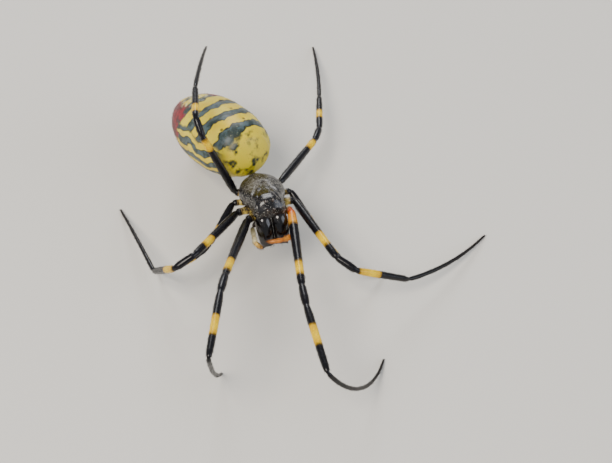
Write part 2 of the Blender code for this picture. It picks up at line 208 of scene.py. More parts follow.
def mottled(name, patches, tones, detail=2.0, relief=0.0, **finish):
    """A finish that drifts through these tones in patches, so many to the millimetre, which also
    stand up by this share of 0.04 mm."""
    made, tree, shader = new_material(name, **finish)
    place = node(tree, "ShaderNodeTexCoord").outputs["Object"]
    clouds = node(tree, "ShaderNodeTexNoise", {"Vector": place, "Scale": patches / MM, "Detail": detail})
    feed(shader, {"Base Color": node(tree, "ShaderNodeValToRGB", {"Fac": clouds}, tones)})
    if relief:
        feed(shader, {"Normal": node(tree, "ShaderNodeBump", {
            "Height": clouds, "Strength": relief, "Distance": 0.04 * MM})})
    return made


def bristle_tree():
    """Hairs over a skin: each is a bent tapering cone of three sides that lies along the skin's
    "lie", as thick on the ground as its "hairiness". OFBake keeps each hair on a small patch at
    its root's place on the skin's own unwrap."""
    tree = bpy.data.node_groups.new("bristles", "GeometryNodeTree")
    sockets = (("Skin", "Geometry"), ("Density", "Float"), ("Length", "Float"), ("Thickness", "Float"),
               ("Lift", "Float"), ("Curl", "Float"), ("Seed", "Int"), ("Material", "Material"))
    for name, kind in sockets:
        tree.interface.new_socket(name=name, in_out="INPUT", socket_type=f"NodeSocket{kind}")
    tree.interface.new_socket(name="Hairs", in_out="OUTPUT", socket_type="NodeSocketGeometry")
    given = node(tree, "NodeGroupInput").outputs

    def marked(name, kind="FLOAT_VECTOR"):
        """What each point of the skin, or of its hairs, is marked with under this name."""
        return node(tree, "GeometryNodeInputNamedAttribute", {"Name": name}, data_type=kind).outputs[0]

    # The roots, strewn over the skin.
    thick = node(tree, "ShaderNodeMath", {
        0: given["Density"], 1: marked("hairiness", "FLOAT")}, operation="MULTIPLY")
    spread = node(tree, "GeometryNodeDistributePointsOnFaces", {
        "Mesh": given["Skin"], "Density": thick, "Seed": given["Seed"]}, distribute_method="RANDOM")
    rooted = node(tree, "GeometryNodeStoreNamedAttribute", {
        "Geometry": spread, "Name": "root_uv", "Value": marked("UVMap")},
        data_type="FLOAT_VECTOR", domain="POINT")

    # Each hair's way: along the lie, lifted off the skin, and a little astray.
    stray = node(tree, "FunctionNodeRandomValue", {
        0: (-0.3, -0.3, -0.3), 1: (0.3, 0.3, 0.3), "Seed": given["Seed"]}, data_type="FLOAT_VECTOR")
    lie = marked("lie")
    stand = node(tree, "ShaderNodeVectorMath", {
        0: spread.outputs["Normal"], "Scale": given["Lift"]}, operation="SCALE")
    lifted = node(tree, "ShaderNodeVectorMath", {0: lie, 1: stand}, operation="ADD")
    way = node(tree, "ShaderNodeVectorMath", {0: lifted, 1: stray}, operation="ADD")
    aimed = node(tree, "FunctionNodeAlignRotationToVector", {"Vector": way}, axis="Z")
    turned = node(tree, "FunctionNodeAlignRotationToVector", {
        "Rotation": aimed, "Vector": lie}, axis="X", pivot_axis="Z")

    # The hair itself, one unit long, which bows as it rises.
    cone = node(tree, "GeometryNodeMeshCone", {
        "Vertices": 3, "Side Segments": 3, "Fill Segments": 1, "Radius Top": 0.12, "Radius Bottom": 1.0,
        "Depth": 1.0}, fill_type="NGON")
    patch = node(tree, "GeometryNodeStoreNamedAttribute", {
        "Geometry": cone, "Name": "hair_uv", "Value": cone.outputs["UV Map"]},
        data_type="FLOAT2", domain="CORNER")
    height = node(tree, "ShaderNodeSeparateXYZ", {0: node(tree, "GeometryNodeInputPosition")}).outputs["Z"]
    square = node(tree, "ShaderNodeMath", {0: height, 1: height}, operation="MULTIPLY")
    bow = node(tree, "ShaderNodeMath", {0: square, 1: given["Curl"]}, operation="MULTIPLY")
    bent = node(tree, "GeometryNodeSetPosition", {
        "Geometry": patch, "Offset": node(tree, "ShaderNodeCombineXYZ", {"X": bow})})

    # Longer and shorter ones, planted on their roots, and unwrapped there.
    share = node(tree, "FunctionNodeRandomValue", {
        2: 0.55, 3: 1.15, "Seed": given["Seed"]}, data_type="FLOAT").outputs[1]
    long = node(tree, "ShaderNodeMath", {0: given["Length"], 1: share}, operation="MULTIPLY")
    size = node(tree, "ShaderNodeCombineXYZ", {"X": given["Thickness"], "Y": given["Thickness"], "Z": long})
    planted = node(tree, "GeometryNodeInstanceOnPoints", {
        "Points": rooted, "Instance": bent, "Rotation": turned, "Scale": size})
    real = node(tree, "GeometryNodeRealizeInstances", {0: planted})
    across = node(tree, "ShaderNodeVectorMath", {0: marked("hair_uv"), "Scale": 0.003}, operation="SCALE")
    place = node(tree, "ShaderNodeVectorMath", {0: marked("root_uv"), 1: across}, operation="ADD")
    mapped = node(tree, "GeometryNodeStoreNamedAttribute", {
        "Geometry": real, "Name": "OFBake", "Value": place}, data_type="FLOAT2", domain="CORNER")
    dressed = node(tree, "GeometryNodeSetMaterial", {"Geometry": mapped, "Material": given["Material"]})
    node(tree, "NodeGroupOutput", {"Hairs": dressed})
    return tree


BRISTLES = bristle_tree()
HAIR_CURL = 3.0  # how many of its own thicknesses a hair bows aside


def grow_hairs(name, mesh, material, slot, density, length, thickness, lift, seed):
    """Grows hairs on a combed skin, and keeps them as one plain mesh. Density is hairs per square
    millimetre, and lift is how steeply they stand."""
    ground = bpy.data.objects.new(name + "_ground", mesh)
    bpy.context.scene.collection.objects.link(ground)
    grower = ground.modifiers.new("bristles", "NODES")
    grower.node_group = BRISTLES
    values = {"Density": density / MM**2, "Length": length * MM, "Thickness": thickness * MM,
              "Lift": lift, "Curl": HAIR_CURL, "Seed": seed, "Material": material}
    for socket in BRISTLES.interface.items_tree:
        if socket.in_out == "INPUT" and socket.name in values:
            grower[socket.identifier] = values[socket.name]
    bpy.context.view_layer.update()
    grown = ground.evaluated_get(bpy.context.evaluated_depsgraph_get())
    hairs = bpy.data.meshes.new_from_object(grown)
    bpy.data.objects.remove(ground)
    for extra in ("root_uv", "hair_uv", "UVMap", "lie", "hairiness"):
        if extra in hairs.attributes:
            hairs.attributes.remove(hairs.attributes[extra])
    hairs.name = name
    hairs.shade_smooth()
    piece(name, hairs, material, slot)


def squarer(wave, power):
    """A sine or cosine squared off by a power below 1, with its sign kept."""
    return np.sign(wave) * np.abs(wave) ** power


def carapace_rings(count=120, sides=128):
    t = np.linspace(0, 1, count)[:, None]
    angle = np.linspace(0, 2 * math.pi, sides, endpoint=False)[None, :]
    rise = np.sin(angle)
    left = profile(CARAPACE_HALF_WIDTH, t) * squarer(np.cos(angle), 0.8)
    forward = CARAPACE_LENGTH * (t - 0.5) + 0 * angle
    up = np.where(rise > 0, profile(CARAPACE_TOP, t) * np.abs(rise) ** 0.9, CARAPACE_EDGE * rise)
    top = np.clip(rise, 0, 1) ** 0.5
    out, ahead = np.abs(left), forward - PIT
    # The pit behind the head, the two furrows that part head from thorax, and one to each leg.
    pit = dent(np.hypot(ahead / 0.26, left / 0.5), 1.0)
    neck = dent(np.abs(out - 0.25 - 0.62 * (forward + 0.7)), 0.24) * (forward > -0.8) * (forward < 1.9)
    furrows = sum(
        dent(np.abs(out * math.cos(way) - ahead * math.sin(way)), 0.14)
        * np.clip(np.hypot(left, ahead) / 1.2 - 0.4, 0, 1) * (ahead * math.cos(way) + out * math.sin(way) > 0)
        for way in (math.radians(degrees) for degrees in LEG_FURROWS))
    horn = dent(np.hypot((forward - HORN[0]) / 0.26, (out - HORN[1]) / 0.24), 1.0)
    up = up + top * (HORN_HEIGHT * horn - PIT_DEPTH * pit - NECK_DEPTH * neck - FURROW_DEPTH * furrows)
    rings = np.stack([forward, left, up], -1)
    # The face closes in ever smaller rings, round a point this high on it.
    edge, middle = rings[-1], np.array([0.0, 0, 0.45])
    face = [edge * [1, s, 1] + (middle - edge * [0, 0, 1]) * (1 - s) + [0.09 * (1 - s), 0, 0]
            for s in (0.93, 0.8, 0.6, 0.4, 0.2, 0.06)]
    return np.concatenate([rings, np.array(face)])


def eye_axis(forward, side, up):
    """The way an eye looks out of the head."""
    way = np.array([forward - 2.4, side, up - 0.5])
    return way / np.linalg.norm(way)


rings = carapace_rings()
for forward, side, up, radius in EYES.values():
    for sign in SIDE_SIGN.values():
        reach = np.linalg.norm(rings - [forward, side * sign, up], axis=-1, keepdims=True)
        rings = rings + EYE_SWELLING * dent(reach, radius * 1.7) * eye_axis(forward, side * sign, up)
carapace_mesh = skin("carapace_shell", in_body(rings))

# Black-brown chitin, waxed smooth where it is bare: fine wrinkles break up a long soft highlight.
shell_chitin, tree, shader = new_material("waxed_black_chitin", Roughness=0.24, Specular_IOR_Level=0.6)
place = node(tree, "ShaderNodeTexCoord").outputs["Object"]
clouds = node(tree, "ShaderNodeTexNoise", {
    "Vector": place, "Scale": 1.4 / MM, "Detail": 5.0, "Roughness": 0.6})
wrinkles = node(tree, "ShaderNodeTexNoise", {"Vector": place, "Scale": 9.0 / MM, "Detail": 3.0})
feed(shader, {
    "Base Color": node(tree, "ShaderNodeValToRGB", {"Fac": clouds}, (
        (0.3, "#080708"), (0.52, "#110E10"), (0.75, "#221B1C"))),
    "Normal": node(tree, "ShaderNodeBump", {"Height": wrinkles, "Strength": 0.35, "Distance": 0.03 * MM})})

# Hollow silver-white hairs that lie flat on the shell: they scatter light, so they look pale.
silver_hair = mottled("silver_hair", 2.5, ((0.35, "#8C877C"), (0.65, "#D8D4C8")),
                      Roughness=0.45, Specular_IOR_Level=0.4)

# The hair is thick on the crown, thin on the face but for its rims, and missing on the horns.
forward, left, up = ((points_of(carapace_mesh) - np.array(BODY_CENTRE)) @ np.array([FORWARD, LEFT, UP]).T).T
face = np.clip((forward + 0.2) / 1.6, 0, 1)
rim = np.clip((np.abs(left) - 1.45) / 0.5, 0, 1)
crown = np.clip((up - 0.05) / 0.3, 0, 1)
bald = dent(np.hypot(forward - HORN[0], np.abs(left) - HORN[1]), 0.3)
comb(carapace_mesh, crown * (1 - bald) * np.maximum(1 - 0.93 * face, 0.65 * rim),
     np.array(FORWARD) * 0.8 - np.sign(left)[:, None] * 0.5 * np.array(LEFT))
piece("carapace_shell", carapace_mesh, shell_chitin, "carapace_shell", "carapace")
grow_hairs("carapace_hair", carapace_mesh, silver_hair, "carapace_shell",
           density=150, length=0.3, thickness=0.014, lift=0.12, seed=11)

# ---------------------------------------------------------------------------------------------
# Eyes: eight clear cuticle lenses over dark cups, set in the shell's swellings: four in a square
# on the face, and a pair touching each other at each of the head's corners.
EYE_PROUD = 0.13  # how far each lens stands out along its axis
# Clear cuticle with only the dark behind it: near black, with a hard wet highlight.
eye_glass = mottled("eye_lens_cuticle", 5.0, ((0.4, "#120C0A"), (0.7, "#4A3728")), Roughness=0.04,
                    Specular_IOR_Level=0.7, Coat_Weight=0.6, Coat_Roughness=0.02)


def ball(centre, radius):
    """A closed smooth ball, in millimetres."""
    made = bmesh.new()
    bmesh.ops.create_uvsphere(made, u_segments=28, v_segments=18, radius=radius * MM)
    mesh = bpy.data.meshes.new("ball")
    made.to_mesh(mesh)
    made.free()
    mesh.transform(Matrix.Translation(Vector(centre) * MM))
    mesh.shade_smooth()
    return mesh


for name, (forward, side, up, radius) in EYES.items():
    for hand, sign in SIDE_SIGN.items():
        axis = eye_axis(forward, side * sign, up)
        lens = ball(body_point(*np.array([forward, side * sign, up]) + EYE_PROUD * axis), radius)
        piece(f"{name}_{hand}_lens", lens, eye_glass, "eye_lens", f"{name}_{hand}")

# ---------------------------------------------------------------------------------------------
# Underside of the thorax: soft grey skin between the legs' bases, with the heart-shaped
# breastplate over it, and the lip and the two palp bases that close the mouth in front.
def body_loft(name, stations, half_width, middle, half_height, power=0.8):
    """A closed form through stations along the body, with keys for its width, its middle's height
    and its own height. The lower the power, the squarer its rings."""
    s = np.linspace(0, 1, stations.size)[:, None]
    angle = np.linspace(0, 2 * math.pi, 64, endpoint=False)[None, :]
    left = profile(half_width, s) * squarer(np.cos(angle), power)
    up = profile(middle, s) + profile(half_height, s) * squarer(np.sin(angle), power)
    return skin(name, in_body(np.stack([stations[:, None] + 0 * angle, left, up], -1)))


# Thin folded skin, dull and a little see-through.
joint_skin = mottled("soft_joint_skin", 4.0, ((0.35, "#2B2622"), (0.6, "#5A5142"), (0.75, "#8B8061")),
                     detail=4.0, relief=0.5, Roughness=0.6, Subsurface_Weight=0.15, Subsurface_Scale=0.4 * MM)
core = body_loft("thorax_underskin", np.linspace(-3.4, 3.0, 48),
                 ((0, 0.3), (0.15, 1.35), (0.5, 1.95), (0.85, 1.6), (1, 0.5)),
                 ((0, -0.25), (0.5, -0.42), (1, -0.4)),
                 ((0, 0.12), (0.2, 0.42), (0.5, 0.62), (0.85, 0.5), (1, 0.15)))
piece("thorax_underskin", core, joint_skin, "carapace_shell")

# A hard plate, brown with yellow blotches, and pitted with pores.
sternum_chitin, tree, shader = new_material("breastplate_chitin", Roughness=0.42)
place = node(tree, "ShaderNodeTexCoord").outputs["Object"]
pores = node(tree, "ShaderNodeTexVoronoi", {"Vector": place, "Scale": 5.2 / MM})
blotch = node(tree, "ShaderNodeTexNoise", {"Vector": place, "Scale": 0.9 / MM, "Detail": 3.0})
feed(shader, {
    "Base Color": node(tree, "ShaderNodeValToRGB", {"Fac": blotch}, (
        (0.4, "#1B1512"), (0.56, "#4A3A22"), (0.68, "#B89A3C"))),
    "Normal": node(tree, "ShaderNodeBump", {"Height": pores, "Strength": 0.3, "Distance": 0.03 * MM})})
shield = body_loft("breastplate", np.linspace(-2.25, 1.18, 60),
                   ((0, 0.1), (0.25, 0.6), (0.6, 1.03), (0.85, 1.08), (0.97, 0.8), (1, 0.5)),
                   ((0, -1.0), (0.5, -1.13), (1, -1.0)),
                   ((0, 0.08), (0.1, 0.3), (0.5, 0.44), (0.9, 0.34), (1, 0.1)), 0.75)
comb(shield, np.clip(-(normals_of(shield) @ np.array(UP)) - 0.2, 0, 1), np.array(FORWARD))
piece("breastplate", shield, sternum_chitin, "carapace_shell", "sternum")
grow_hairs("breastplate_hair", shield, silver_hair, "carapace_shell",
           density=30, length=0.3, thickness=0.02, lift=0.4, seed=12)


def run_of(path):
    """The way that a path runs at each of its points."""
    way = np.gradient(path, axis=0)
    return way / np.linalg.norm(way, axis=1, keepdims=True)


def sweep(path, radii, sides=32, flatten=1.0):
    """Rings along a path, as thick at each point as its radius. Each ring starts on the side away
    from the floor. flatten gives a ring's height as a share of its width."""
    path = np.asarray(path, float)
    way = run_of(path)
    side = np.zeros_like(path)
    first = np.cross([0, 0, 1.0], way[0])
    side[0] = first / np.linalg.norm(first)
    for i in range(1, len(path)):
        kept = side[i - 1] - way[i] * (side[i - 1] @ way[i])
        side[i] = kept / np.linalg.norm(kept)
    over = np.cross(way, side)
    angle = np.linspace(0, 2 * math.pi, sides, endpoint=False)[None, :, None] + math.pi / 2
    radii = np.broadcast_to(np.asarray(radii, float), (len(path),))[:, None, None]
    across = np.cos(angle) * side[:, None, :] + flatten * np.sin(angle) * over[:, None, :]
    return path[:, None, :] + radii * across


def lobe(name, start, end, radius, flatten=1.0, count=28):
    """A closed rounded finger from start to end, thickest near its middle."""
    s = np.linspace(0, 1, count)
    path = np.array(start)[None] * (1 - s[:, None]) + np.array(end)[None] * s[:, None]
    return skin(name, sweep(path, radius * np.sqrt(np.clip(1 - (2 * s - 1) ** 4, 0.002, 1)), 32, flatten))


def joined(name, meshes):
    """One mesh of several closed ones that lie apart or dip into each other."""
    whole = bmesh.new()
    for mesh in meshes:
        whole.from_mesh(mesh)
    made = bpy.data.meshes.new(name)
    whole.to_mesh(made)
    whole.free()
    made.shade_smooth()
    return made


# Brown mouth parts of thinner, duller chitin.
mouth_chitin = mottled("brown_mouth_chitin", 1.3, ((0.35, "#120D0B"), (0.6, "#2C1B12"), (0.75, "#5A3A1E")),
                       detail=3.0, Roughness=0.4)
mouth = [lobe("lip", body_point(1.35, 0, -1.2), body_point(2.35, 0, -1.35), 0.42, 0.7)]
for sign in SIDE_SIGN.values():
    base = body_point(1.7, 0.85 * sign, -1.12), body_point(2.75, 0.72 * sign, -1.5)
    root = body_point(1.9, 0.9 * sign, -1.3), body_point(2.8, 2.1 * sign, -2.02)
    mouth += [lobe("palp_base", *base, 0.46, 0.8), lobe("palp_root", *root, 0.3)]
piece("mouthparts_chitin", joined("mouthparts_chitin", mouth), mouth_chitin, "jaw_shell", "mouthparts")

# ---------------------------------------------------------------------------------------------
# Jaws: two stout, bulging, glass-black capsules hinged under the face, with a fringe of bristles
# inside, and a fang that folds across each one's end like a clasp knife.
JAW_TOP, JAW_END, JAW_RADIUS = (3.05, 0.94, -0.1), (4.75, 0.86, -3.62), 1.0
JAW_SHAPE = ((0, 0.5), (0.08, 0.8), (0.25, 1), (0.5, 1), (0.75, 0.94), (0.9, 0.8), (0.97, 0.56), (1, 0.16))
JAW_BOW = 0.14
HALF_GAP, SQUARENESS = 0.03, 25  # between the jaws, and how sharply their inner faces flatten
FANG_RADIUS, FANG_TIP = 0.25, 0.03

# Thick polished chitin, broken up only by faint dimples, which also dull it in places.
jaw_chitin, tree, shader = new_material("polished_jaw_chitin", Specular_IOR_Level=0.6)
place = node(tree, "ShaderNodeTexCoord").outputs["Object"]
tint = node(tree, "ShaderNodeTexNoise", {"Vector": place, "Scale": 1.1 / MM, "Detail": 2.0})
dimples = node(tree, "ShaderNodeTexNoise", {"Vector": place, "Scale": 5.0 / MM, "Detail": 3.0})
feed(shader, {
    "Base Color": node(tree, "ShaderNodeValToRGB", {"Fac": tint}, ((0.35, "#060506"), (0.7, "#14100F"))),
    "Roughness": node(tree, "ShaderNodeValToRGB", {"Fac": dimples}, ((0.3, "#303030"), (0.7, "#808080"))),
    "Normal": node(tree, "ShaderNodeBump", {"Height": dimples, "Strength": 0.15, "Distance": 0.03 * MM})})
dark_bristle = mottled("dark_bristle", 2.5, ((0.35, "#0D0B0C"), (0.65, "#3A3230")), Roughness=0.4)

for hand, sign in SIDE_SIGN.items():
    s = np.linspace(0, 1, 72)
    top, end = (np.array(body_point(p[0], p[1] * sign, p[2])) for p in (JAW_TOP, JAW_END))
    bowed = JAW_BOW * np.sin(math.pi * s)[:, None] * np.array(FORWARD)
    rings = sweep(top + (end - top) * s[:, None] + bowed, JAW_RADIUS * profile(JAW_SHAPE, s), 56)
    # The inner faces lie flat against each other.
    inner = (rings[..., 0] - BODY_CENTRE.x) * sign - HALF_GAP
    rings[..., 0] = BODY_CENTRE.x + sign * (HALF_GAP + np.log1p(np.exp(inner * SQUARENESS)) / SQUARENESS)
    jaw = skin(f"jaw_{hand}_chitin", rings)
    spots = points_of(jaw)
    along = ((spots - top) @ (end - top)) / ((end - top) @ (end - top))
    inside = np.clip(1 - np.abs(spots[:, 0] - BODY_CENTRE.x) / 0.9, 0, 1)
    comb(jaw, 0.12 + np.clip(along - 0.55, 0, 0.4) * 2.5 * inside, (end - top) / np.linalg.norm(end - top))
    piece(f"jaw_{hand}_chitin", jaw, jaw_chitin, "jaw_shell", f"jaw_{hand}")
    grow_hairs(f"jaw_{hand}_bristles", jaw, dark_bristle, "jaw_shell",
               density=22, length=0.4, thickness=0.016, lift=0.5, seed=21)
    # The fang curls inwards under the jaw's end.
    bend = np.linspace(0, 1, 40)
    turn = np.radians(np.linspace(-20, 88, bend.size))
    fang = [body_point(4.45 - 0.85 * b, (0.42 + 0.95 * math.cos(a)) * sign,
                       -3.96 - 0.36 * math.sin(a * 1.6) ** 2) for a, b in zip(turn, bend)]
    rings = sweep(fang, FANG_RADIUS * (1 - bend**1.5) + FANG_TIP, 24)
    piece(f"fang_{hand}_chitin", skin("fang", rings), jaw_chitin, "jaw_shell", f"fang_{hand}")

# ---------------------------------------------------------------------------------------------
# Palps: two short feelers of thin amber cuticle, leg-like but without the long foot piece, that
# rise beside the mouth and bring their brushy tips together in front of the jaws.
PALP_RADIUS = 0.285
# Each palp's hip, knee, wrist and end, in the body's frame.
PALP_LINES = {
    "right": ((2.75, -2.2, -2.1), (5.2, -2.5, -2.05), (6.9, -2.9, -1.0), (6.1, -1.85, -2.6)),
    "left": ((2.75, 2.2, -2.1), (4.9, 2.5, -2.25), (7.0, 1.3, -1.7), (5.9, -1.3, -1.95)),
}
# Thickness along a palp, as a share: its femur ends at 0.35, its knee piece at 0.47, its shin at 0.68.
PALP_SHAPE = (
    (0, 0.5), (0.04, 0.85), (0.15, 1.02), (0.3, 0.95), (0.345, 0.72), (0.38, 0.95), (0.43, 1.0), (0.47, 0.8),
    (0.51, 0.95), (0.6, 1.03), (0.67, 0.86), (0.69, 0.78), (0.74, 0.95), (0.85, 0.9), (0.95, 0.7), (1, 0.28),
)
PALP_COLOURS = {
    "right": ((0.0, "#3A2A1C"), (0.1, "#CFC08A"), (0.33, "#E3D8AE"), (0.36, "#B79A55"), (0.45, "#E0D3A4"),
              (0.66, "#E6D9A8"), (0.74, "#D9B35C"), (0.9, "#C98A35"), (1.0, "#4A2A18")),
    "left": ((0.0, "#1A0F0D"), (0.3, "#24130F"), (0.36, "#6E2A18"), (0.44, "#A04422"), (0.52, "#D27A2A"),
             (0.66, "#E39A38"), (0.7, "#C9752A"), (0.85, "#E08A30"), (1.0, "#5A3018")),
}
PALP_BRUSH, BRUSH_BROWN = 0.7, "#5A4030"  # where the brushy tip starts, and its hairs' colour


def thin_cuticle(name, stops, uv_map, wobble=0.02, blotched=0.0, **finish):
    """Cuticle coloured along a limb by its U, with slightly uneven borders. It is blotched with
    dark brown up to that U."""
    made, tree, shader = new_material(name, Specular_IOR_Level=0.34, **finish)
    place = node(tree, "ShaderNodeTexCoord").outputs["Object"]
    unwrap = node(tree, "ShaderNodeUVMap", uv_map=uv_map)
    along = node(tree, "ShaderNodeSeparateXYZ", {0: unwrap}).outputs["X"]
    ragged = node(tree, "ShaderNodeTexNoise", {"Vector": place, "Scale": 2.2 / MM, "Detail": 3.0})
    offset = node(tree, "ShaderNodeMath", {0: ragged, 1: 0.5}, operation="SUBTRACT")
    shifted = node(tree, "ShaderNodeMath", {0: offset, 1: wobble, 2: along}, operation="MULTIPLY_ADD")
    mottle = node(tree, "ShaderNodeTexNoise", {"Vector": place, "Scale": 5.2 / MM, "Detail": 4.0})
    shade = node(tree, "ShaderNodeMapRange", {
        "Value": mottle, "From Min": 0.3, "From Max": 0.7, "To Min": 0.72, "To Max": 1.12})
    shaded = node(tree, "ShaderNodeVectorMath", {
        0: node(tree, "ShaderNodeValToRGB", {"Fac": shifted}, stops), "Scale": shade}, operation="SCALE")
    spots = node(tree, "ShaderNodeTexNoise", {"Vector": place, "Scale": 1.5 / MM, "Detail": 3.0})
    blots = node(tree, "ShaderNodeMapRange", {"Value": spots, "From Min": 0.5, "From Max": 0.58})
    near = node(tree, "ShaderNodeMath", {0: along, 1: blotched}, operation="LESS_THAN")
    share = node(tree, "ShaderNodeMath", {0: blots, 1: near}, operation="MULTIPLY")
    colour = node(tree, "ShaderNodeMix", {0: share, 6: shaded, 7: hex_colour("#2B2118")}, data_type="RGBA")
    bump = node(tree, "ShaderNodeBump", {"Height": mottle, "Strength": 0.3, "Distance": 0.03 * MM})
    feed(shader, {"Base Color": colour.outputs[2], "Normal": bump})
    return made


def eased(path, times):
    """A path with its bends rounded, a little each time."""
    for _ in range(times):
        path[1:-1] = (path[:-2] + 2 * path[1:-1] + path[2:]) / 4
    return path


def comb_limb(mesh, path, hairiness):
    """Combs a limb's skin towards its tip, with this hairiness along it, and less near the floor."""
    spots = points_of(mesh)
    nearest = np.array([np.argmin(((path - spot) ** 2).sum(1)) for spot in spots])
    above = np.clip(spots[:, 2] / 0.5 - 0.3 + normals_of(mesh)[:, 2] * 0.5, 0, 1)
    comb(mesh, hairiness[nearest] * above, run_of(path)[nearest])


for hand, line in PALP_LINES.items():
    hip, knee, wrist, end = (np.array(body_point(*corner)) for corner in line)
    femur = hip + (knee - hip) * np.linspace(0, 1, 30, endpoint=False)[:, None]
    s = np.linspace(0, 1, 64)[:, None]
    path = eased(np.concatenate([femur, knee * (1 - s) ** 2 + wrist * 2 * s * (1 - s) + end * s * s]), 6)
    lengths = np.concatenate([[0], np.cumsum(np.linalg.norm(np.diff(path, axis=0), axis=1))])
    along = lengths / lengths[-1]
    palp = skin(f"palp_{hand}_cuticle", sweep(path, PALP_RADIUS * profile(PALP_SHAPE, along), 28), along)
    comb_limb(palp, path, 0.4 + 0.6 * (along > 0.5))
    # Thin cuticle that is only half hardened: amber where light gets in, and satin.
    cuticle = thin_cuticle(f"amber_cuticle_{hand}", PALP_COLOURS[hand], "UVMap", Roughness=0.35)
    brush = [(place, code if place < PALP_BRUSH else BRUSH_BROWN) for place, code in PALP_COLOURS[hand]]
    bristle = thin_cuticle(f"amber_bristle_{hand}", brush, "OFBake", Roughness=0.35)
    piece(f"palp_{hand}_cuticle", palp, cuticle, "palp_shell", f"palp_{hand}_femur", f"palp_{hand}_end")
    grow_hairs(f"palp_{hand}_hair", palp, bristle, "palp_shell",
               density=70, length=0.32, thickness=0.014, lift=0.55, seed=31)

# ---------------------------------------------------------------------------------------------
# Abdomen: a soft bag of tough pliable skin on a short stalk, lightly wrinkled, dimpled where
# muscles hold the back, and painted by pigment under it: slate-green bands across yellow, long
# wavy stripes down the flanks, dark and yellow patches below, and red beside the spinnerets.
ABDOMEN_LENGTH, ABDOMEN_WIDTH, ABDOMEN_HEIGHT, HALF_GIRTH = 16.4, 9.0, 8.6, 13.0
ABDOMEN_YAW, ABDOMEN_DROOP = math.radians(19), math.radians(17)
ABDOMEN_HALF_WIDTH = (
    (0, 0.12), (0.02, 0.42), (0.08, 0.72), (0.22, 0.93), (0.45, 1), (0.7, 0.9), (0.88, 0.62), (0.97, 0.32),
    (1, 0.1),
)
ABDOMEN_TOP = (
    (0, 0.12), (0.02, 0.46), (0.08, 0.78), (0.22, 1), (0.45, 1), (0.7, 0.84), (0.88, 0.54), (0.97, 0.28),
    (1, 0.1),
)
ABDOMEN_UNDER = (
    (0, 0.12), (0.02, 0.36), (0.1, 0.6), (0.25, 0.8), (0.45, 0.95), (0.7, 0.97), (0.86, 0.76), (0.96, 0.4),
    (1, 0.1),
)
# Two rows of dimples down the back: their place along it, out round it, and their depth.
MUSCLE_DIMPLES = ((0.2, 0.13, 0.03), (0.36, 0.11, 0.028), (0.52, 0.11, 0.024), (0.66, 0.1, 0.018))
SKIN_SHARE = 0.985  # the skin's share of the whole size, which leaves the down its room
swing = Matrix.Rotation(ABDOMEN_YAW, 3, "Z")
ABDOMEN_START = np.array(body_point(-3.7, -0.05, 2.5))
BACKWARD = np.array(swing @ Vector((0, math.cos(ABDOMEN_DROOP), -math.sin(ABDOMEN_DROOP))))
ABDOMEN_LEFT = np.array(swing @ LEFT)
ABDOMEN_UP = np.array(swing @ Vector((0, math.sin(ABDOMEN_DROOP), math.cos(ABDOMEN_DROOP))))


def abdomen_rings(count=170, sides=180):
    t = 0.5 - 0.5 * np.cos(np.linspace(0.04, 1, count) * math.pi)
    t = ((t - t[0]) / (1 - t[0]))[:, None]
    # Each ring starts under the belly, so that the unwrap's seam is there.
    turn = np.linspace(0, 1, sides, endpoint=False)[None, :]
    angle = (turn - 0.25) * 2 * math.pi
    wide = profile(ABDOMEN_HALF_WIDTH, t) * ABDOMEN_WIDTH / 2
    high = np.where(np.sin(angle) > 0, profile(ABDOMEN_TOP, t), profile(ABDOMEN_UNDER, t))
    high = high * ABDOMEN_HEIGHT / 2
    girth = np.abs(turn - 0.5) * 2  # 0 along the back, 1 along the belly
    dimples = sum(
        depth * dent(np.hypot((t - along) * ABDOMEN_LENGTH / 0.34, (girth - out) * HALF_GIRTH / 0.32), 1.0)
        for along, out, depth in MUSCLE_DIMPLES)
    # The furrow across the belly behind the lungs, and the two low humps of the shoulders.
    furrow = 0.03 * dent(np.abs(t - 0.3), 0.012) * (girth > 0.72)
    shoulder = 0.035 * dent(np.hypot((t - 0.1) / 0.07, (girth - 0.22) / 0.12), 1.0)
    scale = SKIN_SHARE - dimples - furrow + shoulder * 0.5
    left, up = wide * np.cos(angle) * scale, high * np.sin(angle) * scale
    spots = (ABDOMEN_START + BACKWARD * (ABDOMEN_LENGTH * (t + 0 * angle))[..., None]
             + ABDOMEN_LEFT * left[..., None] + ABDOMEN_UP * up[..., None])
    return spots, t.ravel()


abdomen_mesh = skin("abdomen_skin", *abdomen_rings())


